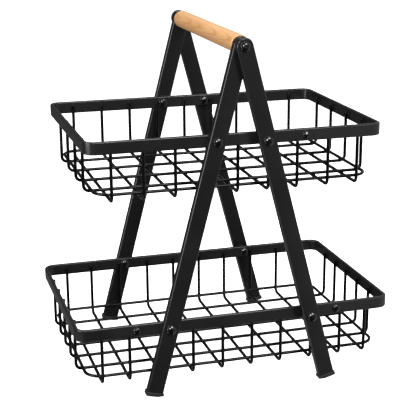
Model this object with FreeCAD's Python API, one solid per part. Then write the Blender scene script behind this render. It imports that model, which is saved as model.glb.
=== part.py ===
import FreeCAD, Part

import math
import os

from FreeCAD import Placement, Rotation, Vector

# Two wire baskets hung between a front and a back A-frame, with a round wooden handle on top.
# X runs along the baskets, Y from front to back, Z up from the floor. Sizes are in millimetres.

# Plan and heights
lower_length = 400.0
upper_length = 365.0
basket_width = 250.0
basket_height = 75.0
lower_rim_top = 92.0
upper_rim_top = 316.0

# Rim strips
rim_height = 15.5
rim_thickness = 4.5
rim_corner_radius = 14.0
rim_edge_radius = 1.8

# Basket wires
wire_diameter = 4.0
wire_bend_radius = 7.0
wire_tip_drop = 4.5
wire_tip_radius = 1.2
wire_tip_share = 0.9
cross_wire_margin = 31.0
upper_cross_wire_count = 9
lower_cross_wire_count = 10
long_wire_margin = 50.0
upper_long_wire_count = 4
lower_long_wire_count = 5
ring_corner_radius = 20.0

# A-frame legs, rectangular tube with a rounded top
leg_width = 20.0
leg_thickness = 10.0
leg_wall = 1.5
leg_edge_radius = 1.5
leg_solid_top = 14.0
foot_spread = 220.0

# Handle
handle_height = 418.0
handle_diameter = 22.0
handle_edge_radius = 1.5
insert_diameter = 9.0
insert_length = 14.0

# Plug feet, a flange under the tube with a stem inside it
foot_overhang = 1.0
foot_flange = 5.0
foot_land = 8.0
foot_edge_radius = 0.8
stem_length = 14.0
stem_clearance = 0.1

# Fasteners
head_diameter = 12.0
head_height = 4.0
head_side = 1.9
head_edge_radius = 0.8
recess_length = 6.2
recess_width = 1.3
recess_depth = 1.9
barrel_diameter = 6.5
thread_diameter = 5.0
barrel_end_gap = 1.5
barrel_blind_end = 2.0
handle_bolt_diameter = 6.0
handle_bolt_reach = 12.0
hole_clearance = 0.3
spacer_diameter = 12.0
head_to_wire = 0.3

# Screws that fill unused holes of the front rims, on the left (-1) and right (1)
upper_spare_sides = [1]
lower_spare_sides = [-1, 1]
spare_share = 0.35
spare_head_diameter = 10.0
spare_bolt_diameter = 5.0
spare_nut_sides = 6
spare_nut_flats = 8.0
spare_nut_height = 4.0
spare_bolt_tail = 1.0

# Worked out from the sizes above
wire_radius = wire_diameter / 2
tip_radius = min(wire_tip_radius, wire_tip_share * wire_radius)
lean = math.atan2(foot_spread / 2, handle_height)
side_of_rim = basket_width / 2
inner_of_rim = side_of_rim - rim_thickness
hole_diameter = barrel_diameter + hole_clearance
handle_hole_diameter = handle_bolt_diameter + hole_clearance
spare_hole_diameter = spare_bolt_diameter + hole_clearance
head_room = head_diameter / 2 + wire_radius + head_to_wire


# Evenly spaced places along a rim, each moved off any screw head that it would touch
def wire_places(length, margin, count, heads):
    pitch = (length - 2 * margin) / (count - 1)
    places = []
    for i in range(count):
        x = (i - (count - 1) / 2) * pitch
        for head in heads:
            if abs(x - head) < head_room:
                x = head + math.copysign(head_room, x - head)
        places.append(x)
    return places


class Tier:
    def __init__(self, name, length, rim_top, cross_wire_count, long_wire_count, spare_sides):
        self.name = name
        self.length = length
        self.rim_top = rim_top
        self.screw_height = rim_top - rim_height / 2
        self.leg_reach = (handle_height - self.screw_height) * math.tan(lean)
        self.floor = rim_top - basket_height + wire_radius
        self.wire_tip = rim_top - wire_tip_drop
        spare_reach = self.leg_reach + spare_share * (length / 2 - self.leg_reach)
        self.spare_holes = [side * spare_reach for side in spare_sides]
        heads = [-self.leg_reach, self.leg_reach] + self.spare_holes
        self.cross_wires = wire_places(length, cross_wire_margin, cross_wire_count, heads)
        self.long_wires = wire_places(basket_width, long_wire_margin, long_wire_count, [])


tiers = [
    Tier(
        "upper", upper_length, upper_rim_top,
        upper_cross_wire_count, upper_long_wire_count, upper_spare_sides,
    ),
    Tier(
        "lower", lower_length, lower_rim_top,
        lower_cross_wire_count, lower_long_wire_count, lower_spare_sides,
    ),
]


class Leg:
    # side is -1 on the left and 1 on the right, face is -1 at the front and 1 at the back
    def __init__(self, side, face):
        self.side = side
        self.face = face
        self.name = ("front_" if face < 0 else "back_") + ("left" if side < 0 else "right")
        self.stand_off = 0.0 if side < 0 else leg_thickness
        self.near = side_of_rim + self.stand_off
        self.far = self.near + leg_thickness


legs = [Leg(side, face) for face in (-1, 1) for side in (-1, 1)]


def save(node, solids):
    shape = solids[0] if len(solids) == 1 else Part.makeCompound(solids)
    shape.exportStep("parts/" + node + ".step")
    print(node, len(shape.Solids), "solids", round(shape.Volume, 1), "mm3", "valid", shape.isValid())


def rounded_rectangle(length, width, radius, z):
    a = length / 2
    b = width / 2
    c = radius * (1 - math.sqrt(0.5))
    corners = [(1, -1), (1, 1), (-1, 1), (-1, -1)]
    edges = []
    ends = []
    for sx, sy in corners:
        on_x = Vector(sx * (a - radius), sy * b, z)
        on_y = Vector(sx * a, sy * (b - radius), z)
        middle = Vector(sx * (a - c), sy * (b - c), z)
        first, last = (on_x, on_y) if sx * sy < 0 else (on_y, on_x)
        ends.append((first, middle, last))
    for i, (first, middle, last) in enumerate(ends):
        edges.append(Part.Arc(first, middle, last).toShape())
        edges.append(Part.LineSegment(last, ends[(i + 1) % len(ends)][0]).toShape())
    return Part.Wire(edges)


# Whether an edge sets off closer to this axis than to the plane across it
def runs_along(edge, axis):
    return abs(edge.tangentAt(edge.FirstParameter).dot(axis)) > math.sqrt(0.5)


def hole_along_y(x, z, diameter, near, far, face):
    start = Vector(x, face * near, z)
    return Part.makeCylinder(diameter / 2, far - near, start, Vector(0, face, 0))


def make_rim(tier):
    bottom = tier.rim_top - rim_height
    outer = rounded_rectangle(tier.length, basket_width, rim_corner_radius, bottom)
    inner = rounded_rectangle(
        tier.length - 2 * rim_thickness,
        basket_width - 2 * rim_thickness,
        rim_corner_radius - rim_thickness,
        bottom,
    )
    up = Vector(0, 0, rim_height)
    strip = Part.Face(outer).extrude(up).cut(Part.Face(inner).extrude(up))
    long_edges = [e for e in strip.Edges if not runs_along(e, Vector(0, 0, 1))]
    strip = strip.makeFillet(rim_edge_radius, long_edges)
    holes = []
    for leg in legs:
        x = leg.side * tier.leg_reach
        holes.append(hole_along_y(x, tier.screw_height, hole_diameter, inner_of_rim, side_of_rim, leg.face))
    for x in tier.spare_holes:
        holes.append(hole_along_y(x, tier.screw_height, spare_hole_diameter, inner_of_rim, side_of_rim, -1))
    return strip.cut(holes)


# A U-shaped wire that runs across the floor of a basket, with a tip at the rim on each side
def make_bent_wire(centre, run, half_span, tip_height, floor):
    r = wire_bend_radius
    c = r * (1 - math.sqrt(0.5))
    up = Vector(0, 0, 1)
    stations = [
        (half_span, tip_height),
        (half_span, floor + r),
        (half_span - c, floor + c),
        (half_span - r, floor),
    ]

    def side_points(side):
        return [centre + run * (side * along) + up * height for along, height in stations]

    tip, knee, bend, foot = side_points(-1)
    far_tip, far_knee, far_bend, far_foot = side_points(1)
    path = Part.Wire([
        Part.LineSegment(tip, knee).toShape(),
        Part.Arc(knee, bend, foot).toShape(),
        Part.LineSegment(foot, far_foot).toShape(),
        Part.Arc(far_foot, far_bend, far_knee).toShape(),
        Part.LineSegment(far_knee, far_tip).toShape(),
    ])
    section = Part.Wire([Part.makeCircle(wire_radius, tip, up)])
    rod = path.makePipeShell([section], True, False)
    circles = [e for e in rod.Edges if len(e.Vertexes) == 1]
    tip_edges = [e for e in circles if e.CenterOfMass.z > tip_height - tip_radius]
    return rod.makeFillet(tip_radius, tip_edges)


# How far inside an upright's centre line the ring lies when it touches the bent wire at this height
def ring_inset(height):
    r = wire_bend_radius
    if height >= r:
        return wire_diameter
    reach = (r - wire_diameter) ** 2 - (r - height) ** 2
    return r - math.sqrt(max(reach, 0.0))


def make_ring(tier):
    half_length = tier.length / 2 - rim_thickness - wire_radius - ring_inset(wire_diameter)
    half_width = inner_of_rim - wire_radius - ring_inset(2 * wire_diameter)
    height = tier.floor + 2 * wire_diameter
    path = rounded_rectangle(2 * half_length, 2 * half_width, ring_corner_radius, height)
    first = path.OrderedEdges[0]
    start = first.valueAt(first.FirstParameter)
    heading = first.tangentAt(first.FirstParameter)
    section = Part.Wire([Part.makeCircle(wire_radius, start, heading)])
    return path.makePipeShell([section], True, False)


def save_basket(tier):
    save(tier.name + "_rim", [make_rim(tier)])
    half_width = inner_of_rim - wire_radius
    for i, x in enumerate(tier.cross_wires):
        rod = make_bent_wire(Vector(x, 0, 0), Vector(0, 1, 0), half_width, tier.wire_tip, tier.floor)
        save("%s_cross_wire_%d" % (tier.name, i + 1), [rod])
    half_length = tier.length / 2 - rim_thickness - wire_radius
    long_floor = tier.floor + wire_diameter
    for i, y in enumerate(tier.long_wires):
        rod = make_bent_wire(Vector(0, y, 0), Vector(1, 0, 0), half_length, tier.wire_tip, long_floor)
        save("%s_long_wire_%d" % (tier.name, i + 1), [rod])
    save(tier.name + "_base_ring", [make_ring(tier)])


# Legs and feet are drawn upright, with the handle's axis at the origin, and then leaned about it
def lean_leg(shape, leg):
    turn = Rotation(Vector(0, 1, 0), leg.side * -math.degrees(lean))
    shape.Placement = Placement(Vector(0, 0, handle_height), turn).multiply(shape.Placement)
    return shape


# Distance down the leg from the handle's axis to the sole, where the low corner is cut to a flat land
def sole_distance():
    half = leg_width / 2 + foot_overhang
    cut = foot_land * math.sin(lean) * math.cos(lean)
    return (handle_height + cut - half * math.sin(lean)) / math.cos(lean)


def upright_slab(width, near, far, top, bottom, face):
    low_y = min(face * near, face * far)
    return Part.makeBox(width, far - near, top - bottom, Vector(-width / 2, low_y, bottom))


def make_leg(leg):
    bottom = foot_flange - sole_distance()
    bar = upright_slab(leg_width, leg.near, leg.far, 0.0, bottom, leg.face)
    cap = hole_along_y(0.0, 0.0, leg_width, leg.near, leg.far, leg.face)
    bar = bar.fuse(cap).removeSplitter()
    long_edges = [e for e in bar.Edges if not runs_along(e, Vector(0, 1, 0))]
    long_edges = [e for e in long_edges if e.BoundBox.ZMax > bottom + leg_edge_radius]
    bar = bar.makeFillet(leg_edge_radius, long_edges)
    hollow = upright_slab(
        leg_width - 2 * leg_wall, leg.near + leg_wall, leg.far - leg_wall, -leg_solid_top, bottom, leg.face
    )
    bar = lean_leg(bar.cut(hollow), leg)
    holes = [hole_along_y(0.0, handle_height, handle_hole_diameter, leg.near, leg.far, leg.face)]
    for tier in tiers:
        x = leg.side * tier.leg_reach
        holes.append(hole_along_y(x, tier.screw_height, hole_diameter, leg.near, leg.far, leg.face))
    return bar.cut(holes)


def make_foot(leg):
    sole = -sole_distance()
    step = sole + foot_flange
    flange = upright_slab(
        leg_width + 2 * foot_overhang, leg.near - foot_overhang, leg.far + foot_overhang, step, sole, leg.face
    )
    flange = flange.makeFillet(foot_edge_radius, flange.Edges)
    inset = leg_wall + stem_clearance
    stem = upright_slab(
        leg_width - 2 * inset, leg.near + inset, leg.far - inset, step + stem_length, step, leg.face
    )
    foot = lean_leg(flange.fuse(stem).removeSplitter(), leg)
    size = foot.BoundBox
    corner = Vector(size.XMin, size.YMin, -foot_land)
    below_floor = Part.makeBox(size.XLength, size.YLength, foot_land, corner)
    return foot.cut(below_floor)


# A domed pan head on the Z axis with its seat at the origin, and a cross recess in its top
def make_head(diameter):
    r = diameter / 2
    rise = head_height - head_side
    dome_radius = (r * r + rise * rise) / (2 * rise)
    dome = Part.makeSphere(dome_radius, Vector(0, 0, head_height - dome_radius))
    head = Part.makeCylinder(r, head_height).common(dome)
    shoulder = [e for e in head.Edges if len(e.Vertexes) == 1 and e.BoundBox.ZMin > head_side / 2]
    head = head.makeFillet(head_edge_radius, shoulder)
    slots = []
    for length, width in ((recess_length, recess_width), (recess_width, recess_length)):
        corner = Vector(-length / 2, -width / 2, head_height - recess_depth)
        slots.append(Part.makeBox(length, width, recess_depth, corner))
    return head.cut(slots)


# Puts a fastener drawn on the Z axis at this place, its head turned towards the given side
def seat(shape, x, y, z, towards):
    shape.Placement = Placement(Vector(x, y, z), Rotation(Vector(0, 0, 1), Vector(0, towards, 0)))
    return shape


def make_screw(diameter, shank_diameter, reach):
    shank = Part.makeCylinder(shank_diameter / 2, reach, Vector(0, 0, -reach))
    return make_head(diameter).fuse(shank).removeSplitter()


def make_sleeve_nut(grip):
    reach = grip - barrel_end_gap
    barrel = Part.makeCylinder(barrel_diameter / 2, reach, Vector(0, 0, -reach))
    bore = Part.makeCylinder(thread_diameter / 2, reach - barrel_blind_end, Vector(0, 0, -reach))
    return make_head(head_diameter).fuse(barrel).removeSplitter().cut(bore)


def save_rim_fasteners(tier):
    screws = []
    nuts = []
    for leg in legs:
        x = leg.side * tier.leg_reach
        grip = leg.far - inner_of_rim
        screw = make_screw(head_diameter, thread_diameter, grip - barrel_blind_end)
        screws.append(seat(screw, x, leg.face * leg.far, tier.screw_height, leg.face))
        nuts.append(seat(make_sleeve_nut(grip), x, leg.face * inner_of_rim, tier.screw_height, -leg.face))
    save(tier.name + "_leg_screws", screws)
    save(tier.name + "_sleeve_nuts", nuts)


def save_spacers():
    spacers = []
    for tier in tiers:
        for leg in legs:
            if leg.stand_off > 0:
                x = leg.side * tier.leg_reach
                tube = hole_along_y(x, tier.screw_height, spacer_diameter, side_of_rim, leg.near, leg.face)
                bore = hole_along_y(x, tier.screw_height, hole_diameter, side_of_rim, leg.near, leg.face)
                spacers.append(tube.cut(bore))
    save("leg_spacers", spacers)


def make_spare_nut():
    turn = 360 / spare_nut_sides
    corner = Vector(spare_nut_flats / 2 / math.cos(math.radians(turn / 2)), 0, 0)
    outline = [Rotation(Vector(0, 0, 1), i * turn).multVec(corner) for i in range(spare_nut_sides + 1)]
    nut = Part.Face(Part.makePolygon(outline)).extrude(Vector(0, 0, spare_nut_height))
    return nut.cut(Part.makeCylinder(spare_bolt_diameter / 2, spare_nut_height))


def save_spare_fasteners():
    screws = []
    nuts = []
    for tier in tiers:
        for x in tier.spare_holes:
            reach = rim_thickness + spare_nut_height + spare_bolt_tail
            screw = make_screw(spare_head_diameter, spare_bolt_diameter, reach)
            screws.append(seat(screw, x, -side_of_rim, tier.screw_height, -1))
            nuts.append(seat(make_spare_nut(), x, -inner_of_rim, tier.screw_height, 1))
    save("spare_screws", screws)
    save("spare_nuts", nuts)


def save_handle():
    rod = hole_along_y(0.0, handle_height, handle_diameter, -side_of_rim, side_of_rim, 1)
    rims = [e for e in rod.Edges if len(e.Vertexes) == 1]
    rod = rod.makeFillet(handle_edge_radius, rims)
    inserts = []
    screws = []
    for face in (-1, 1):
        end = side_of_rim
        plug = hole_along_y(0.0, handle_height, insert_diameter, end - insert_length, end, face)
        bore = hole_along_y(0.0, handle_height, handle_bolt_diameter, end - insert_length, end, face)
        rod = rod.cut(plug)
        inserts.append(plug.cut(bore))
        outside = max(leg.far for leg in legs)
        screw = make_screw(head_diameter, handle_bolt_diameter, outside - end + handle_bolt_reach)
        screws.append(seat(screw, 0.0, face * outside, handle_height, face))
    save("handle", [rod])
    save("handle_inserts", inserts)
    save("handle_screws", screws)


os.makedirs("parts", exist_ok=True)
for tier in tiers:
    save_basket(tier)
    save_rim_fasteners(tier)
for leg in legs:
    save(leg.name + "_leg", [make_leg(leg)])
    save(leg.name + "_foot", [make_foot(leg)])
save_spacers()
save_spare_fasteners()
save_handle()
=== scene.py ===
import itertools
import math

import bmesh
import bpy
from mathutils import Matrix, Vector


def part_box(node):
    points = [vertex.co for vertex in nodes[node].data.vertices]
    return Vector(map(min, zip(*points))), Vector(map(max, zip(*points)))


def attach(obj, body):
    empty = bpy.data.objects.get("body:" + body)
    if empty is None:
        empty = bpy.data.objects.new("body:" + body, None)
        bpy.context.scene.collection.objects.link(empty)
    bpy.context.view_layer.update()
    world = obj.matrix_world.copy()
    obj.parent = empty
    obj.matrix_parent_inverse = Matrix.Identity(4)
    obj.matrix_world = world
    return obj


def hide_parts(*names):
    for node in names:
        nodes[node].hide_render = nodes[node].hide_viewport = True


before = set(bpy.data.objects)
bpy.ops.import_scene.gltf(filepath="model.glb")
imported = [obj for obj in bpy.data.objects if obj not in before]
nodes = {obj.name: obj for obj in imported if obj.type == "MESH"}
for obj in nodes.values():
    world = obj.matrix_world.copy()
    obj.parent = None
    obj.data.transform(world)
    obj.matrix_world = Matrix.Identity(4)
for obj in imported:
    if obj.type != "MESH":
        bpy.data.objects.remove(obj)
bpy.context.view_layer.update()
up = Vector((0, 0, 1))
tiny = 1e-6         # metres, for places that should be the same
cornerAngle = 1.0   # radians, past which two faces meet in a corner
print("frame loaded,", len(nodes), "nodes")


# Shader maths: a wrapped socket that adds Math nodes as it is used in an expression
class Val:
    def __init__(self, tree, socket=None):
        self.tree = tree
        self.socket = socket

    def node(self, kind, settings=None, links=None, out=0):
        made = self.tree.nodes.new(kind)
        for key, value in (settings or {}).items():
            setattr(made, key, value)
        for key, value in (links or {}).items():
            if isinstance(value, Val):
                self.tree.links.new(value.socket, made.inputs[key])
            else:
                made.inputs[key].default_value = value
        return Val(self.tree, made.outputs[out])

    def math(self, operation, *values):
        return self.node("ShaderNodeMath", {"operation": operation}, dict(enumerate(values)))

    def __add__(self, other):
        return self.math("ADD", self, other)

    def __radd__(self, other):
        return self.math("ADD", other, self)

    def __sub__(self, other):
        return self.math("SUBTRACT", self, other)

    def __rsub__(self, other):
        return self.math("SUBTRACT", other, self)

    def __mul__(self, other):
        return self.math("MULTIPLY", self, other)

    def __rmul__(self, other):
        return self.math("MULTIPLY", other, self)

    def __truediv__(self, other):
        return self.math("DIVIDE", self, other)

    def __pow__(self, other):
        return self.math("POWER", self, other)

    def split(self):
        parts = self.node("ShaderNodeSeparateXYZ", None, {"Vector": self})
        return [Val(self.tree, socket) for socket in parts.socket.node.outputs]

    def mapped(self, place=(0.0, 0.0, 0.0), scale=(1.0, 1.0, 1.0)):
        return self.node("ShaderNodeMapping", None, {"Vector": self, "Location": place, "Scale": scale})

    def noise(self, scale, detail=2.0, rough=0.5):
        links = {"Vector": self, "Scale": scale, "Detail": detail, "Roughness": rough}
        return self.node("ShaderNodeTexNoise", None, links)

    def swing(self, amount):
        return (self - 0.5) * amount   # a noise lies about 0.5

    def span(self, low, high, toLow=0.0, toHigh=1.0):
        links = {"Value": self, "From Min": low, "From Max": high, "To Min": toLow, "To Max": toHigh}
        return self.node("ShaderNodeMapRange", {"interpolation_type": "SMOOTHSTEP"}, links)

    def blend(self, first, second):
        first, second = [c if isinstance(c, Val) else (*c, 1.0) for c in (first, second)]
        links = {"Factor": self, 6: first, 7: second}   # 6, 7 and 2 are the Mix node's colour sockets
        return self.node("ShaderNodeMix", {"data_type": "RGBA"}, links, out=2)


def startMaterial(name, fixed):
    mat = bpy.data.materials.new(name)
    mat.use_nodes = True
    shader = mat.node_tree.nodes["Principled BSDF"]
    for key, value in fixed.items():
        shader.inputs[key].default_value = value
    place = Val(mat.node_tree).node("ShaderNodeTexCoord", out="Object")
    return mat, place


def feed(mat, **sockets):
    names = {"colour": "Base Color", "rough": "Roughness", "normal": "Normal", "coat": "Coat Weight"}
    shader = mat.node_tree.nodes["Principled BSDF"]
    for key, value in sockets.items():
        mat.node_tree.links.new(value.socket, shader.inputs[names[key]])


def bumped(height, strength, depth):
    return height.node("ShaderNodeBump", None, {"Strength": strength, "Distance": depth, "Height": height})


# Baked-on powder coat: fine orange peel, a little cloudy in colour and gloss, with specks of dust
# In every look a noise is its scale, detail and roughness, and a span is its start, its end and,
# where these aren't 0 and 1, what it gives there
coatLook = {
    "clouds": (14.0, 3.0), "cloudSpan": (0.3, 0.7), "cloudRough": 0.05,
    "dust": (330.0, 4.0, 0.7), "dustSpan": (0.60, 0.78), "dustShare": 0.06,
    "peelRough": 0.015, "peelDepth": 0.0004,
}


def powderCoat(name, look):
    mat, place = startMaterial(name, {"Specular IOR Level": look["specular"]})
    clouds = place.noise(*coatLook["clouds"])
    peel = place.noise(*look["peel"])
    dust = place.noise(*coatLook["dust"]).span(*coatLook["dustSpan"])
    colour = clouds.span(*coatLook["cloudSpan"]).blend(look["dark"], look["light"])
    colour = (dust * coatLook["dustShare"]).blend(colour, look["speck"])
    rough = look["rough"] + clouds.swing(coatLook["cloudRough"]) + peel.swing(coatLook["peelRough"])
    feed(mat, colour=colour, rough=rough, normal=bumped(peel, look["peelHeight"], coatLook["peelDepth"]))
    return mat


rimCoat = powderCoat("rimCoat", {
    "dark": (0.0072, 0.0072, 0.0075), "light": (0.0112, 0.0112, 0.0112), "speck": (0.020, 0.020, 0.020),
    "rough": 0.23, "specular": 0.45, "peel": (900.0, 2.0, 0.6), "peelHeight": 0.014})
legCoat = powderCoat("legCoat", {
    "dark": (0.0045, 0.0045, 0.0048), "light": (0.0072, 0.0072, 0.0072), "speck": (0.016, 0.016, 0.016),
    "rough": 0.25, "specular": 0.45, "peel": (1100.0, 2.0, 0.6), "peelHeight": 0.014})
wireCoat = powderCoat("wireCoat", {
    "dark": (0.0008, 0.0008, 0.0009), "light": (0.0016, 0.0016, 0.0016), "speck": (0.010, 0.010, 0.010),
    "rough": 0.17, "specular": 0.20, "peel": (1500.0, 2.0, 0.6), "peelHeight": 0.010})

# Moulded black plastic with a fine spark-eroded texture, smoother where it is rubbed
plasticLook = {
    "specular": 0.4, "grainRough": 0.2, "grainHeight": 0.2, "grainDepth": 0.0003,
    "rubbed": (60.0, 3.0), "rubbedSpan": (0.45, 0.75), "rubbedGloss": 0.08,
}


def mouldedPlastic(name, look):
    mat, place = startMaterial(name, {"Specular IOR Level": plasticLook["specular"]})
    grain = place.noise(*look["grain"])
    rubbed = place.noise(*plasticLook["rubbed"]).span(*plasticLook["rubbedSpan"])
    colour = rubbed.blend(look["dark"], look["light"])
    rough = look["rough"] + grain.swing(plasticLook["grainRough"]) - rubbed * plasticLook["rubbedGloss"]
    normal = bumped(grain, plasticLook["grainHeight"], plasticLook["grainDepth"])
    feed(mat, colour=colour, rough=rough, normal=normal)
    return mat


footPlastic = mouldedPlastic("footPlastic", {
    "dark": (0.008, 0.008, 0.008), "light": (0.014, 0.014, 0.014), "rough": 0.5, "grain": (2200.0, 2.0, 0.7)})
spacerNylon = mouldedPlastic("spacerNylon", {
    "dark": (0.006, 0.006, 0.006), "light": (0.011, 0.011, 0.011), "rough": 0.6, "grain": (1800.0, 2.0, 0.7)})

# Blackened and lacquered screws: glossy, a little smeared and finely pitted
lacquerLook = {
    "dark": (0.0014, 0.0014, 0.0014), "light": (0.003, 0.003, 0.003), "rough": 0.20, "specular": 0.15,
    "smear": (260.0, 3.0, 0.6), "smearSpan": (0.35, 0.7), "smearRough": 0.12,
    "coatRough": 0.04, "coatSpan": (0.2, 0.8, 0.8, 1.0),
    "pits": (2600.0, 1.0), "pitHeight": 0.04, "pitDepth": 0.0002,
}


def screwLacquer(look):
    fixed = {"Coat Roughness": look["coatRough"], "Specular IOR Level": look["specular"]}
    mat, place = startMaterial("screwBlack", fixed)
    smear = place.noise(*look["smear"])
    pits = place.noise(*look["pits"])
    colour = smear.span(*look["smearSpan"]).blend(look["dark"], look["light"])
    rough = look["rough"] + smear.swing(look["smearRough"])
    normal = bumped(pits, look["pitHeight"], look["pitDepth"])
    feed(mat, colour=colour, rough=rough, coat=smear.span(*look["coatSpan"]), normal=normal)
    return mat


screwBlack = screwLacquer(lacquerLook)

# Turned brass of the threaded inserts, with turning marks and some tarnish
brassLook = {
    "dull": (0.55, 0.36, 0.12), "bright": (0.70, 0.50, 0.20), "rough": 0.25,
    "tarnish": (180.0, 3.0), "tarnishSpan": (0.35, 0.7), "tarnishRough": 0.15,
    "marks": (2400.0, 2.0), "markStretch": (0.1, 1.0, 0.1), "markHeight": 0.1, "markDepth": 0.0002,
}


def turnedBrass(look):
    mat, place = startMaterial("insertBrass", {"Metallic": 1.0})
    marks = place.mapped(scale=look["markStretch"]).noise(*look["marks"])
    tarnish = place.noise(*look["tarnish"])
    colour = tarnish.span(*look["tarnishSpan"]).blend(look["dull"], look["bright"])
    rough = look["rough"] + tarnish * look["tarnishRough"]
    feed(mat, colour=colour, rough=rough, normal=bumped(marks, look["markHeight"], look["markDepth"]))
    return mat


insertBrass = turnedBrass(brassLook)

# Beech: slanted growth rings cut to long arcs, with fibres and short dark flecks along the grain
beechLook = {
    "heart": (0.052, -0.026),   # where the tree's middle lies, beside and below the handle's axis
    "early": (0.520, 0.270, 0.104), "late": (0.389, 0.170, 0.054), "pale": (0.562, 0.315, 0.135),
    "ringGap": 0.0013, "slant": 0.024, "lateRise": (0.45, 0.90), "lateFall": (0.92, 1.0), "lateShare": 0.62,
    "waver": (24.0, 3.0, 0.55), "waverStretch": (1.0, 0.22, 1.0), "waverReach": 0.0042,
    "clouds": (38.0, 2.0), "cloudStretch": (1.0, 0.3, 1.0), "cloudSpan": (0.35, 0.65),
    "grainStretch": (1.0, 0.035, 1.0),
    "fibres": (1500.0, 3.0, 0.6), "fibreSpan": (0.45, 0.65), "fibreShare": 0.22,
    "flecks": (2600.0, 1.0), "fleckSpan": (0.62, 0.74), "fleckShare": 0.32, "fleck": (0.30, 0.13, 0.05),
    "rough": 0.40, "fibreRough": 0.2, "fleckRough": 0.1,
    "fibreRise": 0.6, "fleckSink": 0.7, "lateSink": 0.2, "reliefHeight": 0.16, "reliefDepth": 0.0003,
    "specular": 0.45, "sheen": 0.04, "sheenRough": 0.35, "oilRough": 0.28, "oilSpan": (0.3, 0.7, 0.22, 0.10),
}


def beechWood(look, axisHeight):
    mat, place = startMaterial("beech", {
        "Specular IOR Level": look["specular"], "Coat Roughness": look["oilRough"],
        "Sheen Weight": look["sheen"], "Sheen Roughness": look["sheenRough"]})
    heartX, heartZ = look["heart"]
    x, y, z = place.mapped(place=(-heartX, 0.0, -axisHeight - heartZ)).split()
    waver = place.mapped(scale=look["waverStretch"]).noise(*look["waver"])
    radius = (x * x + z * z) ** 0.5
    rings = (radius + y * look["slant"] + waver.swing(look["waverReach"])) / look["ringGap"]
    step = rings.math("FRACT", rings)
    late = step.span(*look["lateRise"]) * (1.0 - step.span(*look["lateFall"]))
    grain = place.mapped(scale=look["grainStretch"])
    fibres = grain.noise(*look["fibres"])
    flecks = grain.noise(*look["flecks"]).span(*look["fleckSpan"])
    clouds = place.mapped(scale=look["cloudStretch"]).noise(*look["clouds"])
    streaks = late * look["lateShare"] + fibres.span(*look["fibreSpan"]) * look["fibreShare"]
    colour = clouds.span(*look["cloudSpan"]).blend(look["early"], look["pale"])
    colour = streaks.blend(colour, look["late"])
    colour = (flecks * look["fleckShare"]).blend(colour, look["fleck"])
    rough = look["rough"] + fibres.swing(look["fibreRough"]) + flecks * look["fleckRough"]
    relief = fibres * look["fibreRise"] - flecks * look["fleckSink"] - late * look["lateSink"]
    normal = bumped(relief, look["reliefHeight"], look["reliefDepth"])
    feed(mat, colour=colour, rough=rough, coat=fibres.span(*look["oilSpan"]), normal=normal)
    return mat


handleLow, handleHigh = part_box("handle")
handleAxis = (handleLow + handleHigh) / 2
beech = beechWood(beechLook, handleAxis.z)
print("materials made")


# Names a piece after the node that it stands for
def pieceName(node):
    words = node.split("_")
    return words[0] + "".join(word.capitalize() for word in words[1:])


# Turns a finished bmesh into a piece that rides on the frame and stands for its CAD nodes
def finishPiece(bm, name, mat, standsFor=(), sharpAngle=40.0):
    mesh = bpy.data.meshes.new(name)
    bm.to_mesh(mesh)
    bm.free()
    mesh.polygons.foreach_set("use_smooth", [True] * len(mesh.polygons))
    mesh.set_sharp_from_angle(angle=math.radians(sharpAngle))
    mesh.materials.append(mat)
    piece = bpy.data.objects.new(name, mesh)
    bpy.context.scene.collection.objects.link(piece)
    flats = piece.modifiers.new("flats", "WEIGHTED_NORMAL")   # keeps broad faces flat beside round edges
    flats.keep_sharp = True
    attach(piece, "root")
    if standsFor:
        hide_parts(*standsFor)
    return piece


def edgesIn(geom):
    return [g for g in geom if isinstance(g, bmesh.types.BMEdge)]


def vertsIn(geom):
    return [g for g in geom if isinstance(g, bmesh.types.BMVert)]


def edgesAt(verts):
    return list(dict.fromkeys(e for v in verts for e in v.link_edges))


def roundEdges(bm, edges, radius, steps):
    bmesh.ops.bevel(bm, geom=edges, offset=radius, offset_type="OFFSET", segments=steps, profile=0.5,
                    affect="EDGES", material=-1, clamp_overlap=True)


def roundCorners(bm, corners, radius, steps):
    bmesh.ops.bevel(bm, geom=corners, offset=radius, offset_type="OFFSET", segments=steps, profile=0.5,
                    affect="VERTICES", material=-1)


# Rims: flat strip on edge, bent to a rounded rectangle, with its four long edges rounded over
rimSize = {"thickness": 0.0045, "corner": 0.014, "edge": 0.0018, "cornerSteps": 10, "edgeSteps": 5}


def buildRim(node):
    low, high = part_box(node)
    size = high - low
    bm = bmesh.new()
    bmesh.ops.create_grid(bm, x_segments=1, y_segments=1, size=0.5)
    bmesh.ops.scale(bm, vec=(size.x, size.y, 1.0), verts=bm.verts)
    bmesh.ops.translate(bm, vec=(0, 0, low.z), verts=bm.verts)
    roundCorners(bm, bm.verts[:], rimSize["corner"], rimSize["cornerSteps"])
    inside = bm.faces[:]
    bmesh.ops.inset_region(
        bm, faces=inside, thickness=rimSize["thickness"], use_even_offset=True, use_boundary=True)
    bmesh.ops.delete(bm, geom=inside, context="FACES")
    strip = bmesh.ops.extrude_face_region(bm, geom=bm.faces[:], use_keep_orig=True)
    bmesh.ops.translate(bm, vec=(0, 0, size.z), verts=vertsIn(strip["geom"]))
    bmesh.ops.recalc_face_normals(bm, faces=bm.faces[:])
    corners = [e for e in bm.edges if len(e.link_faces) == 2 and e.calc_face_angle() > cornerAngle]
    roundEdges(bm, corners, rimSize["edge"], rimSize["edgeSteps"])
    return finishPiece(bm, pieceName(node), rimCoat, [node])


for tier in ("upper", "lower"):
    buildRim(tier + "_rim")
print("rims built")

# Wires: round wire swept through runs and bends, its cut tips rounded over
wireSize = {"bend": 0.007, "tip": 0.0012, "ringCorner": 0.020, "sides": 16, "bendSteps": 7, "ringSteps": 14,
            "tipSteps": 3, "sharp": 60.0}
wireCount = {"upper": (9, 4), "lower": (10, 5)}   # cross wires and lengthwise wires


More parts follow.
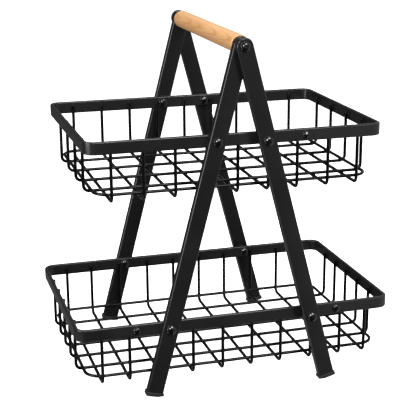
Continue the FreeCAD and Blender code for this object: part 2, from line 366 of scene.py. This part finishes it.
def wireStart(bm, radius, place, heading):
    turn = heading.to_track_quat("Z", "Y").to_matrix().to_4x4()
    made = bmesh.ops.create_circle(bm, cap_ends=False, radius=radius, segments=wireSize["sides"],
                                   matrix=Matrix.Translation(place) @ turn)
    return edgesAt(made["verts"])


def wireRun(bm, edges, step, grow=1.0):
    made = bmesh.ops.extrude_edge_only(bm, edges=edges)["geom"]
    moved = vertsIn(made)
    bmesh.ops.scale(bm, vec=(grow, grow, 1.0), verts=moved)
    bmesh.ops.translate(bm, vec=step, verts=moved)
    return [e for e in edgesIn(made) if set(e.verts) <= set(moved)]


def wireBend(bm, edges, centre, axis, steps):
    ring = list(dict.fromkeys(v for e in edges for v in e.verts)) + edges
    made = bmesh.ops.spin(
        bm, geom=ring, cent=centre, axis=axis, angle=math.pi / 2, steps=steps, use_merge=False)
    return edgesIn(made["geom_last"])


def buildBentWire(node, run):
    low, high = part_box(node)
    across = Vector((run.y, run.x, 0))
    radius = (high - low).dot(across) / 2
    middle = (low + high) / 2
    half = (high - low).dot(run) / 2 - radius
    bend, steps = wireSize["bend"], wireSize["bendSteps"]
    tip = Vector((middle.x, middle.y, high.z)) - run * half
    drop = up * (high.z - low.z - radius - bend)
    axis = run.cross(up)
    bm = bmesh.new()
    first = wireStart(bm, radius, tip, -up)
    edges = wireRun(bm, first, -drop)
    edges = wireBend(bm, edges, tip - drop + run * bend, axis, steps)
    edges = wireRun(bm, edges, run * (2 * half - 2 * bend))
    edges = wireBend(bm, edges, tip - drop + run * (2 * half - bend), axis, steps)
    last = wireRun(bm, edges, drop)
    for ends in (first, last):
        bmesh.ops.contextual_create(bm, geom=ends)
    roundEdges(bm, first + last, wireSize["tip"], wireSize["tipSteps"])
    bmesh.ops.recalc_face_normals(bm, faces=bm.faces[:])
    return finishPiece(bm, pieceName(node), wireCoat, [node], wireSize["sharp"])


def buildRing(node):
    low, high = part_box(node)
    radius = (high.z - low.z) / 2
    corner = wireSize["ringCorner"]
    half = (high - low) / 2 - Vector((radius + corner, radius + corner, 0))
    centre = (low + high) / 2
    bm = bmesh.new()
    first = wireStart(bm, radius, centre + Vector((0, -half.y - corner, 0)), Vector((1, 0, 0)))
    edges = wireRun(bm, first, Vector((half.x, 0, 0)))
    cornersAndRuns = [
        (1, -1, (0, 2 * half.y, 0)), (1, 1, (-2 * half.x, 0, 0)),
        (-1, 1, (0, -2 * half.y, 0)), (-1, -1, (half.x, 0, 0))]
    for sx, sy, step in cornersAndRuns:
        pivot = centre + Vector((sx * half.x, sy * half.y, 0))
        edges = wireBend(bm, edges, pivot, up, wireSize["ringSteps"])
        edges = wireRun(bm, edges, Vector(step))
    bmesh.ops.remove_doubles(bm, verts=bm.verts[:], dist=tiny)
    bmesh.ops.recalc_face_normals(bm, faces=bm.faces[:])
    return finishPiece(bm, pieceName(node), wireCoat, [node], wireSize["sharp"])


for tier, (crossCount, longCount) in wireCount.items():
    for i in range(1, crossCount + 1):
        buildBentWire("%s_cross_wire_%d" % (tier, i), Vector((0, 1, 0)))
    for i in range(1, longCount + 1):
        buildBentWire("%s_long_wire_%d" % (tier, i), Vector((1, 0, 0)))
    buildRing(tier + "_base_ring")
print("wires built")

# Spot welds: small beads of squeezed metal where the wires cross and where they meet the rim
weldSize = {"spread": 0.0019, "depth": 0.0011, "rimSpread": 0.0019, "rimHalf": 0.0045,
            "around": 8, "rows": 6, "sharp": 80.0}


def addWeld(bm, place, reach):
    made = bmesh.ops.create_uvsphere(
        bm, u_segments=weldSize["around"], v_segments=weldSize["rows"], radius=1.0)
    bmesh.ops.scale(bm, vec=reach, verts=made["verts"])
    bmesh.ops.translate(bm, vec=place, verts=made["verts"])


def buildWelds(tier, crossCount, longCount):
    crossBoxes = [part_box("%s_cross_wire_%d" % (tier, i + 1)) for i in range(crossCount)]
    longBoxes = [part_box("%s_long_wire_%d" % (tier, i + 1)) for i in range(longCount)]
    ringLow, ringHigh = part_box(tier + "_base_ring")
    rimLow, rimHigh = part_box(tier + "_rim")
    spread, depth = weldSize["spread"], weldSize["depth"]
    rimSpread, rimHalf = weldSize["rimSpread"], weldSize["rimHalf"]
    wire = ringHigh.z - ringLow.z
    floorTop = crossBoxes[0][0].z + wire
    ringMiddle = (ringLow.z + ringHigh.z) / 2
    rimMiddle = (rimLow.z + crossBoxes[0][1].z) / 2
    rimX = rimHigh.x - rimSize["thickness"]
    rimY = rimHigh.y - rimSize["thickness"]
    xs = [(low.x + high.x) / 2 for low, high in crossBoxes]
    ys = [(low.y + high.y) / 2 for low, high in longBoxes]
    bm = bmesh.new()
    for x in xs:
        for y in ys:
            addWeld(bm, (x, y, floorTop), (spread, spread, depth))
        for side, ringY in ((-1, ringLow.y), (1, ringHigh.y)):
            addWeld(bm, (x, ringY, ringMiddle), (spread, depth, spread))
            addWeld(bm, (x, side * rimY, rimMiddle), (rimSpread, depth, rimHalf))
    for y in ys:
        for side, ringX in ((-1, ringLow.x + wire / 2), (1, ringHigh.x - wire / 2)):
            addWeld(bm, (ringX, y, ringLow.z), (spread, spread, depth))
            addWeld(bm, (side * rimX, y, rimMiddle), (depth, rimSpread, rimHalf))
    return finishPiece(bm, tier + "Welds", wireCoat, (), weldSize["sharp"])


for tier, counts in wireCount.items():
    buildWelds(tier, *counts)
print("welds built")

# Pan heads of the screws and sleeve nuts, with a tapered cross recess
headSize = {
    "radius": 0.006, "height": 0.004, "side": 0.0019, "edge": 0.0008, "crown": 0.0034,
    "armReach": 0.0031, "armHalf": 0.00065, "depth": 0.0019, "taper": 0.62, "turn": 31.0,
    "sides": 32, "tipCuts": 1, "flankCuts": 2, "domeSteps": 5, "edgeSteps": 4, "sharp": 35.0,
}

# A-frame legs: flat tube with rounded edges, open below, with a half-round top, leaned about the handle
legSize = {"width": 0.020, "edge": 0.0015, "wall": 0.0015, "solidTop": 0.014, "topSteps": 20, "edgeSteps": 4}
legSides = {"front_left": (-1, -1), "front_right": (1, -1), "back_left": (-1, 1), "back_right": (1, 1)}
screwLow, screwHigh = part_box("lower_leg_screws")
screwReach = screwHigh.x - headSize["radius"]
lean = math.atan2(screwReach, handleAxis.z - (screwLow.z + screwHigh.z) / 2)


def leanAboutHandle(bm, side):
    turn = Matrix.Rotation(-side * lean, 3, "Y")
    bmesh.ops.rotate(bm, cent=(0, 0, 0), matrix=turn, verts=bm.verts)
    bmesh.ops.translate(bm, vec=(0, 0, handleAxis.z), verts=bm.verts)


def legLength(low):
    return (handleAxis.z - low.z - legSize["width"] / 2 * math.sin(lean)) / math.cos(lean)


def raiseFace(bm, face, rise):
    made = bmesh.ops.extrude_face_region(bm, geom=[face])
    bmesh.ops.translate(bm, vec=(0, 0, rise), verts=vertsIn(made["geom"]))
    bmesh.ops.delete(bm, geom=[face], context="FACES_ONLY")


def buildLeg(node, side):
    low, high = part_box(node)
    half = legSize["width"] / 2
    bm = bmesh.new()
    foot = bm.verts.new((half, low.y, -legLength(low)))
    shoulder = bm.verts.new((half, low.y, 0))
    bm.edges.new((foot, shoulder))
    arch = bmesh.ops.spin(bm, geom=[shoulder], cent=(0, 0, 0), axis=(0, 1, 0), angle=-math.pi,
                          steps=legSize["topSteps"], use_merge=False)
    farFoot = bm.verts.new((-half, low.y, foot.co.z))
    bm.edges.new((vertsIn(arch["geom_last"])[0], farFoot))
    bm.edges.new((farFoot, foot))
    bmesh.ops.contextual_create(bm, geom=bm.edges[:])
    other = bmesh.ops.extrude_face_region(bm, geom=bm.faces[:], use_keep_orig=True)
    bmesh.ops.translate(bm, vec=(0, high.y - low.y, 0), verts=vertsIn(other["geom"]))
    bmesh.ops.recalc_face_normals(bm, faces=bm.faces[:])
    outline = [e for e in bm.edges if abs(e.verts[0].co.y - e.verts[1].co.y) < tiny]
    outline = [e for e in outline if max(v.co.z for v in e.verts) > foot.co.z + tiny]
    sole = min(bm.faces, key=lambda f: f.calc_center_median().z)
    bmesh.ops.inset_region(bm, faces=[sole], thickness=legSize["wall"], use_even_offset=True)
    raiseFace(bm, sole, -legSize["solidTop"] - foot.co.z)
    roundEdges(bm, outline, legSize["edge"], legSize["edgeSteps"])
    leanAboutHandle(bm, side)
    return finishPiece(bm, pieceName(node), legCoat, [node])


# Plug feet: a moulded flange with a stem up the tube, its low corner cut to a flat land on the floor
footSize = {"overhang": 0.001, "flange": 0.005, "stem": 0.014, "clearance": 0.0001, "edge": 0.0008,
            "edgeSteps": 3}


def buildFoot(node, legNode, side):
    legLow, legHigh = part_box(legNode)
    overhang, edge, flange = footSize["overhang"], footSize["edge"], footSize["flange"]
    size = (legSize["width"] + 2 * overhang, legHigh.y - legLow.y + 2 * overhang, flange)
    middle = (0, (legLow.y + legHigh.y) / 2, -legLength(legLow) - flange / 2)
    stemInset = overhang + legSize["wall"] + footSize["clearance"] - edge
    bm = bmesh.new()
    bmesh.ops.create_cube(bm, size=1.0)
    bmesh.ops.scale(bm, vec=size, verts=bm.verts)
    bmesh.ops.translate(bm, vec=middle, verts=bm.verts)
    roundEdges(bm, bm.edges[:], edge, footSize["edgeSteps"])
    top = max(bm.faces, key=lambda f: f.calc_center_median().z)
    bmesh.ops.inset_region(bm, faces=[top], thickness=stemInset, use_even_offset=True)
    raiseFace(bm, top, footSize["stem"])
    leanAboutHandle(bm, side)
    whole = bm.verts[:] + bm.edges[:] + bm.faces[:]
    cut = bmesh.ops.bisect_plane(bm, geom=whole, plane_co=(0, 0, 0), plane_no=-up, clear_outer=True)
    bmesh.ops.contextual_create(bm, geom=edgesIn(cut["geom_cut"]))
    bmesh.ops.recalc_face_normals(bm, faces=bm.faces[:])
    return finishPiece(bm, pieceName(node), footPlastic, [node])


for corner in legSides:
    side = legSides[corner][0]
    buildLeg(corner + "_leg", side)
    buildFoot(corner + "_foot", corner + "_leg", side)
print("legs and feet built")

# Handle: a turned dowel with softened ends
handleSize = {"edge": 0.0015, "sides": 64, "edgeSteps": 4, "rings": 40, "sharp": 50.0}


def buildHandle():
    radius = (handleHigh.z - handleLow.z) / 2
    step = Vector((0, (handleHigh.y - handleLow.y) / handleSize["rings"], 0))
    place = Matrix.Translation((0, handleLow.y, handleAxis.z)) @ Matrix.Rotation(math.pi / 2, 4, "X")
    bm = bmesh.new()
    made = bmesh.ops.create_circle(
        bm, cap_ends=False, radius=radius, segments=handleSize["sides"], matrix=place)
    first = edgesAt(made["verts"])
    last = first
    for ring in range(handleSize["rings"]):
        last = wireRun(bm, last, step)
    for ends in (first, last):
        bmesh.ops.contextual_create(bm, geom=ends)
    roundEdges(bm, first + last, handleSize["edge"], handleSize["edgeSteps"])
    bmesh.ops.recalc_face_normals(bm, faces=bm.faces[:])
    return finishPiece(bm, "handle_turned", beech, ["handle"], handleSize["sharp"])


buildHandle()
print("handle built")

# Fasteners: screws and sleeve nuts through legs and rims, spare screws with nuts, and tube spacers
shankSize = {"thread": 0.0025, "barrel": 0.00325, "bolt": 0.003, "blindEnd": 0.002, "endGap": 0.0015,
             "tipChamfer": 0.0006, "handleReach": 0.012}
spareSize = {"head": 0.005, "bolt": 0.0025, "tail": 0.001, "flats": 0.008, "share": 0.35,
             "sides": {"upper": [1], "lower": [-1, 1]}}
spareNutSize = {"radius": spareSize["flats"] / math.sqrt(3), "sides": 6, "bore": spareSize["bolt"],
                "height": 0.004, "edge": 0.0005, "edgeSteps": 2}
spacerSize = {"radius": 0.006, "sides": 24, "bore": 0.0034, "edge": 0.0003, "edgeSteps": 2, "least": 0.0001}
boreSides = 24
fastenerNodes = (
    "upper_leg_screws", "lower_leg_screws", "upper_sleeve_nuts", "lower_sleeve_nuts",
    "spare_screws", "spare_nuts", "handle_screws", "leg_spacers")
headTurns = itertools.count(headSize["turn"], headSize["turn"])   # each screw stops at another angle


def loopAt(bm, height):
    return [e for e in bm.edges if e.is_boundary and all(abs(v.co.z - height) < tiny for v in e.verts)]


def closeMesh(bm):
    bmesh.ops.recalc_face_normals(bm, faces=bm.faces[:])
    mesh = bpy.data.meshes.new("fastener")
    bm.to_mesh(mesh)
    bm.free()
    return mesh


def domeRadius(radius):
    rise = headSize["height"] - headSize["side"]
    return (radius ** 2 + rise ** 2) / (2 * rise)


def domeHeight(radius, reach):
    dome = domeRadius(radius)
    return headSize["height"] - dome + math.sqrt(dome ** 2 - reach ** 2)


# The recess: a cross of twelve corners, cut into as many edges as the crown has, tapering down
def sinkRecess(bm, crown, radius):
    reach, half = headSize["armReach"], headSize["armHalf"]
    arm = [Vector((reach, -half, 0)), Vector((reach, half, 0)), Vector((half, half, 0))]
    corners = []
    for quarter in range(4):
        turn = Matrix.Rotation(quarter * math.pi / 2, 3, "Z")
        corners += [bm.verts.new(turn @ point) for point in arm]
    cross = [bm.edges.new((corners[i - 1], corners[i])) for i in range(len(corners))]
    tips = cross[1::3]   # the end of each arm
    flanks = [e for e in cross if e not in tips]
    cross = edgesIn(bmesh.ops.subdivide_edges(bm, edges=tips, cuts=headSize["tipCuts"])["geom_split"])
    cross += edgesIn(bmesh.ops.subdivide_edges(bm, edges=flanks, cuts=headSize["flankCuts"])["geom_split"])
    for v in {v for e in cross for v in e.verts}:
        v.co.z = domeHeight(radius, v.co.xy.length)
    bmesh.ops.bridge_loops(bm, edges=crown + cross)
    bottom = wireRun(bm, cross, (0, 0, -headSize["depth"]), headSize["taper"])
    bmesh.ops.contextual_create(bm, geom=bottom)


# One screw or sleeve nut on the Z axis, with its head above the origin and its shank below
def fastenerMesh(radius, shankRadius, length, bore=0.0):
    crown, dome = headSize["crown"], domeRadius(radius)
    sweep = math.asin(crown / dome) - math.asin(radius / dome)
    bm = bmesh.new()
    seat = bm.verts.new((radius, 0, 0))
    shoulder = bm.verts.new((radius, 0, headSize["side"]))
    bm.edges.new((seat, shoulder))
    bmesh.ops.spin(bm, geom=[shoulder], cent=(0, 0, headSize["height"] - dome), axis=(0, 1, 0), angle=sweep,
                   steps=headSize["domeSteps"], use_merge=False)
    roundCorners(bm, [shoulder], headSize["edge"], headSize["edgeSteps"])
    bmesh.ops.spin(bm, geom=bm.verts[:] + bm.edges[:], cent=(0, 0, 0), axis=up, angle=2 * math.pi,
                   steps=headSize["sides"], use_merge=True)
    under = loopAt(bm, 0.0)
    sinkRecess(bm, loopAt(bm, domeHeight(radius, crown)), radius)
    chamfer = shankSize["tipChamfer"]
    edges = wireRun(bm, under, (0, 0, 0), shankRadius / radius)
    edges = wireRun(bm, edges, (0, 0, chamfer - length))
    edges = wireRun(bm, edges, (0, 0, -chamfer), 1 - chamfer / shankRadius)
    if bore:
        edges = wireRun(bm, edges, (0, 0, 0), bore / (shankRadius - chamfer))
        edges = wireRun(bm, edges, (0, 0, length - shankSize["blindEnd"]))
    bmesh.ops.contextual_create(bm, geom=edges)
    return closeMesh(bm)


def ringPair(bm, radius, sides, bore):
    outer = bmesh.ops.create_circle(bm, cap_ends=False, radius=radius, segments=sides)["verts"]
    inner = bmesh.ops.create_circle(bm, cap_ends=False, radius=bore, segments=boreSides)["verts"]
    rim, hole = edgesAt(outer), edgesAt(inner)
    if sides < boreSides:
        rim = edgesIn(bmesh.ops.subdivide_edges(bm, edges=rim, cuts=boreSides // sides - 1)["geom_split"])
    bmesh.ops.bridge_loops(bm, edges=rim + hole)


# A hexagon nut or a round spacer tube, standing on the origin along Z
def sleeveMesh(size, height):
    bm = bmesh.new()
    ringPair(bm, size["radius"], size["sides"], size["bore"])
    made = bmesh.ops.extrude_face_region(bm, geom=bm.faces[:], use_keep_orig=True)
    bmesh.ops.translate(bm, vec=(0, 0, height), verts=vertsIn(made["geom"]))
    bmesh.ops.recalc_face_normals(bm, faces=bm.faces[:])
    level = [e for e in bm.edges if abs(e.verts[0].co.z - e.verts[1].co.z) < tiny]
    corners = [e for e in level if e.calc_face_angle() > cornerAngle]
    outside = [e for e in corners if min(v.co.xy.length for v in e.verts) > size["bore"] + tiny]
    roundEdges(bm, outside, size["edge"], size["edgeSteps"])
    return closeMesh(bm)


def addAt(bm, mesh, place, towards, turn=0.0):
    known = len(bm.verts)
    bm.from_mesh(mesh)
    bm.verts.ensure_lookup_table()
    outward = Matrix.Rotation(-towards * math.pi / 2, 4, "X")
    spun = Matrix.Rotation(math.radians(turn), 4, "Z")
    bmesh.ops.transform(bm, matrix=Matrix.Translation(place) @ outward @ spun, verts=bm.verts[known:])


def legFaces(corner):
    low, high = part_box(corner + "_leg")
    return sorted((abs(low.y), abs(high.y)))


def addLegFasteners(groups, tier, reach, z, rim):
    radius, inside = headSize["radius"], rim.y - rimSize["thickness"]
    for corner, (side, face) in legSides.items():
        near, far = legFaces(corner)
        grip = far - inside
        turn = next(headTurns)
        screw = fastenerMesh(radius, shankSize["thread"], grip - shankSize["blindEnd"])
        addAt(groups[tier + "_leg_screws"], screw, (side * reach, face * far, z), face, turn)
        nut = fastenerMesh(radius, shankSize["barrel"], grip - shankSize["endGap"], shankSize["thread"])
        addAt(groups[tier + "_sleeve_nuts"], nut, (side * reach, face * inside, z), -face, -turn)
        if near - rim.y > spacerSize["least"]:
            tube = sleeveMesh(spacerSize, near - rim.y)
            addAt(groups["leg_spacers"], tube, (side * reach, face * rim.y, z), face)


def addSpareScrews(groups, tier, reach, z, rim):
    length = rimSize["thickness"] + spareNutSize["height"] + spareSize["tail"]
    for side in spareSize["sides"][tier]:
        x = side * (reach + spareSize["share"] * (rim.x - reach))
        screw = fastenerMesh(spareSize["head"], spareSize["bolt"], length)
        addAt(groups["spare_screws"], screw, (x, -rim.y, z), -1, next(headTurns))
        hexagon = sleeveMesh(spareNutSize, spareNutSize["height"])
        addAt(groups["spare_nuts"], hexagon, (x, rimSize["thickness"] - rim.y, z), 1)


def addHandleScrews(groups):
    outermost = max(legFaces(corner)[1] for corner in legSides)
    for face, end in ((-1, -handleLow.y), (1, handleHigh.y)):
        length = outermost - end + shankSize["handleReach"]
        screw = fastenerMesh(headSize["radius"], shankSize["bolt"], length)
        addAt(groups["handle_screws"], screw, (0, face * outermost, handleAxis.z), face, next(headTurns))


def buildFasteners():
    groups = {node: bmesh.new() for node in fastenerNodes}
    for tier in wireCount:
        low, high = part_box(tier + "_leg_screws")
        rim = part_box(tier + "_rim")[1]
        reach, z = high.x - headSize["radius"], (low.z + high.z) / 2
        addLegFasteners(groups, tier, reach, z, rim)
        addSpareScrews(groups, tier, reach, z, rim)
    addHandleScrews(groups)
    for node, bm in groups.items():
        mat, slotName = screwBlack, "screw_black"
        if node == "leg_spacers":
            mat, slotName = spacerNylon, "spacer_nylon"
        finishPiece(bm, pieceName(node), mat, [node], headSize["sharp"])


buildFasteners()
nodes["handle_inserts"].data.materials.clear()
nodes["handle_inserts"].data.materials.append(insertBrass)
print("fasteners built")

# Camera at the photograph's angle, with its focal length and middle in pixels of the square picture
photoView = {"place": (-0.4011, -1.3537, 0.6013), "yaw": 17.45, "pitch": 17.07, "focal": 1138.8,
             "middle": (227.0, 224.2), "picture": 416, "sensor": 36.0}


def setCamera(view):
    data = bpy.data.cameras.new("camera")
    data.sensor_width = view["sensor"]
    data.lens = view["focal"] / view["picture"] * view["sensor"]
    centre = (view["picture"] - 1) / 2
    data.shift_x = (centre - view["middle"][0]) / view["picture"]
    data.shift_y = (view["middle"][1] - centre) / view["picture"]
    camera = bpy.data.objects.new("camera", data)
    camera.location = view["place"]
    camera.rotation_euler = (math.radians(90 - view["pitch"]), 0, -math.radians(view["yaw"]))
    bpy.context.scene.collection.objects.link(camera)
    bpy.context.scene.camera = camera


setCamera(photoView)

# Studio: a white floor in a dim room, with soft boxes overhead, beside the camera, at the left and behind
floorLook = {
    "size": 14.0, "colour": (0.93, 0.93, 0.93), "shade": 0.985, "glow": 0.75, "rough": 0.9, "specular": 0.1,
    "pulp": (30.0, 3.0), "pulpSpan": (0.3, 0.7),
}
skyLook = {
    "overhead": 0.5, "ground": 0.06, "horizon": (0.30, 0.90),
    "right": 0.50, "rightSide": (0.27, 0.46),
    "back": 0.45, "backStart": (-0.14, -0.02), "backSide": (0.55, 0.90), "backDrop": (0.14, 0.30),
    "left": 1.3, "leftSide": (0.45, 0.65), "leftDrop": (0.36, 0.52),
}
lampAim = Vector((0, 0, 0.2))
softLights = {
    "topSoftbox": {"place": (0.0, 0.0, 2.5), "size": (2.4, 2.4), "power": 71.0, "mirrored": False},
    "keySoftbox": {"place": (-0.70, -2.05, 0.90), "size": (0.45, 0.45), "power": 21.0},
    "rightSoftbox": {"place": (0.45, -1.75, 1.35), "size": (0.75, 0.75), "power": 26.0},
    "leftSoftbox": {"place": (-1.5, -0.55, 0.42), "size": (1.0, 0.75), "power": 24.0},
    "backSoftbox": {"place": (0.0, 1.6, 2.0), "size": (0.9, 0.9), "power": 13.0, "matte": False},
}


def layFloor(look):
    bm = bmesh.new()
    bmesh.ops.create_grid(bm, x_segments=1, y_segments=1, size=look["size"])
    mesh = bpy.data.meshes.new("floor")
    bm.to_mesh(mesh)
    bm.free()
    mat, place = startMaterial("floorPaper", {
        "Roughness": look["rough"], "Specular IOR Level": look["specular"],
        "Emission Color": (1.0, 1.0, 1.0, 1.0), "Emission Strength": look["glow"]})
    shaded = tuple(c * look["shade"] for c in look["colour"])
    feed(mat, colour=place.noise(*look["pulp"]).span(*look["pulpSpan"]).blend(look["colour"], shaded))
    mesh.materials.append(mat)
    floor = bpy.data.objects.new("floor", mesh)
    floor.visible_glossy = False   # the object takes no light from the white floor
    floor.visible_diffuse = False
    bpy.context.scene.collection.objects.link(floor)


# The room's light by direction: from overhead, from the right, low behind and low at the left
def setSky(look):
    world = bpy.data.worlds.new("sky")
    world.use_nodes = True
    tree = world.node_tree
    x, y, z = Val(tree).node("ShaderNodeTexCoord", out="Generated").split()
    left, down = 0.0 - x, 0.0 - z
    overhead = z.span(*look["horizon"])
    behind = x.span(*look["backStart"]) * y.span(*look["backSide"]) * down.span(*look["backDrop"])
    lowLeft = left.span(*look["leftSide"]) * down.span(*look["leftDrop"])
    low = look["ground"] + x.span(*look["rightSide"]) * look["right"]
    low = low + behind * look["back"] + lowLeft * look["left"]
    light = low * (1.0 - overhead) + overhead * look["overhead"]
    tree.links.new(light.socket, tree.nodes["Background"].inputs["Strength"])
    tree.nodes["Background"].inputs["Color"].default_value = (1.0, 1.0, 1.0, 1.0)
    bpy.context.scene.world = world


def hangLights(lights):
    for name, light in lights.items():
        data = bpy.data.lights.new(name, "AREA")
        data.shape = "RECTANGLE"
        data.size, data.size_y = light["size"]
        data.energy = light["power"]
        lamp = bpy.data.objects.new(name, data)
        lamp.location = light["place"]
        lamp.rotation_euler = (lampAim - lamp.location).to_track_quat("-Z", "Y").to_euler()
        lamp.visible_camera = False
        lamp.visible_diffuse = light.get("matte", True)
        lamp.visible_glossy = light.get("mirrored", True)
        bpy.context.scene.collection.objects.link(lamp)


layFloor(floorLook)
setSky(skyLook)
hangLights(softLights)
bpy.context.scene.view_settings.view_transform = "Standard"
print("camera and studio set")
